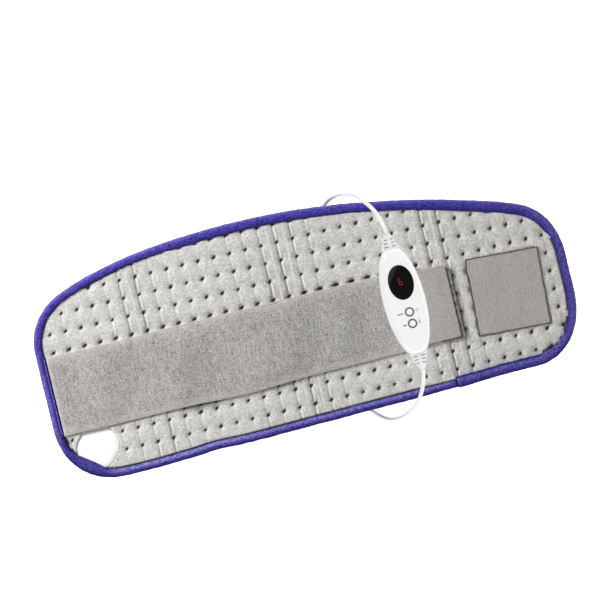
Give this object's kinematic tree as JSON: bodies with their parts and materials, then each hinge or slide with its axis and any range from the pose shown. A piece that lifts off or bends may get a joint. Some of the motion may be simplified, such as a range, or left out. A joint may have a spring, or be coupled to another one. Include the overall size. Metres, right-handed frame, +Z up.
{
  "type": "heating pad with controller",
  "caption": "Quilted waist heating belt with an elastic hook-and-loop strap, a round cord inlet and an in-line oval hand controller with a digit window, on a mains lead.",
  "frame": {"origin": "on the table under the middle of the belt's outline", "axes": "+X along the belt from the sewn end of the strap to the loop patch, +Y across it towards the belt's arched top edge, +Z up from the table"},
  "size_m": [0.675, 0.2943, 0.0591],
  "materials": {
    "fleece": "matte quilted fleece",
    "binding": "matte bias tape",
    "webbing": "ribbed elastic and brushed nylon",
    "hooks": "hook tape",
    "felt": "matte felt",
    "wire": "insulated wire",
    "sleeve": "glass-fibre sleeve",
    "white_soft": "soft moulded plastic",
    "white_shell": "semi-gloss",
    "black_lens": "polished",
    "grey_ring": "satin",
    "black_plastic": "matte",
    "board": "solder-masked board",
    "module": "matte",
    "capacitor": "dipped",
    "cord": "soft sheath",
    "steel": "plated"
  },
  "bodies": {
    "belt": {"quilted_cover": "fleece", "back_cover": "fleece", "edge_binding": "binding", "wadding": "felt", "element_carrier": "felt", "heating_wire": "wire", "thermal_cutout_left": "sleeve", "thermal_cutout_right": "sleeve", "elastic_strap": "webbing", "loop_patch": "webbing", "inlet_cover": "white_soft", "inlet_base": "white_soft", "inlet_relief": "cord", "inlet_terminal_block": "black_plastic", "handset_top_shell": "white_shell", "handset_base_shell": "white_shell", "handset_screw_front": "steel", "handset_screw_back": "steel", "mains_relief": "white_soft", "pad_relief": "white_soft", "display_window": "black_lens", "display_module": "module", "circuit_board": "board", "triac": "black_plastic", "film_capacitor": "capacitor", "board_fuse": "sleeve", "mains_terminal": "board", "pad_terminal": "board", "power_button_ring": "grey_ring", "power_switch": "black_plastic", "mode_button_ring": "grey_ring", "mode_switch": "black_plastic", "pad_lead": "cord", "mains_lead": "cord", "mains_coil": "cord", "mains_tail": "cord", "coil_tie": "black_plastic", "plug_relief": "white_soft", "plug_body": "white_soft", "plug_pin_left": "steel", "plug_pin_right": "steel"},
    "power_button": {"power_button": "white_shell"},
    "mode_button": {"mode_button": "white_shell"},
    "strap_tab": {"strap_tab": "webbing", "hook_strip": "hooks"}
  },
  "joints": [
    {"name": "power_press", "type": "slide", "parent": "belt", "child": "power_button", "axis": [-0.0693, 0, -0.9976], "range_m": [0, 0.0008], "stiffness_N_per_m": 400},
    {"name": "mode_press", "type": "slide", "parent": "belt", "child": "mode_button", "axis": [-0.0693, 0, -0.9976], "range_m": [0, 0.0008], "stiffness_N_per_m": 400},
    {"name": "tab_peel", "type": "hinge", "parent": "belt", "child": "strap_tab", "pos_m": [0.157, -0.0215, 0.03085], "axis": [0, -1, 0], "range_deg": [0, 75]}
  ]
}
